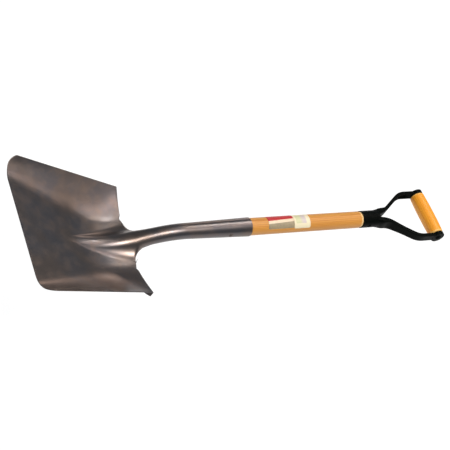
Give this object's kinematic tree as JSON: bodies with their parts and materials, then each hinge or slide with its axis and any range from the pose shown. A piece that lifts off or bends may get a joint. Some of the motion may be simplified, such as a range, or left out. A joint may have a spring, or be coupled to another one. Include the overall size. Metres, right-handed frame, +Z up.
{
  "type": "roofing shovel",
  "caption": "Square-mouth steel shovel blade with raised side walls on a short round wooden shaft, with a steel yoke and a turned wooden D grip.",
  "frame": {"origin": "on the shaft's axis, at the mouth of the blade's socket", "axes": "+X along the shaft towards the grip, +Z up on the carrying side of the blade, +Y across the blade"},
  "size_m": [1.0369, 0.3092, 0.112],
  "materials": {
    "blade_steel": "dark oxide-brown lacquered steel, satin",
    "shaft_wood": "clear varnish over pale straight-grained ash",
    "yoke_black": "gloss black paint",
    "grip_wood": "yellow-orange varnish over turned hardwood",
    "label_red": "printed paper label, red and grey bands, no lettering",
    "label_cream": "printed paper label, cream, no lettering"
  },
  "bodies": {
    "shovel": {"blade": "blade_steel", "shaft": "shaft_wood", "socket_rivet": "blade_steel", "yoke": "yoke_black", "yoke_rivet": "yoke_black", "grip_rod": "yoke_black", "label_front": "label_red", "label_rear": "label_cream"},
    "grip": {"grip": "grip_wood"}
  },
  "joints": [
    {"name": "grip_turn", "type": "hinge", "parent": "shovel", "child": "grip", "pos_m": [0.5007, 0, 0], "axis": [0, 1, 0], "continuous": true}
  ]
}
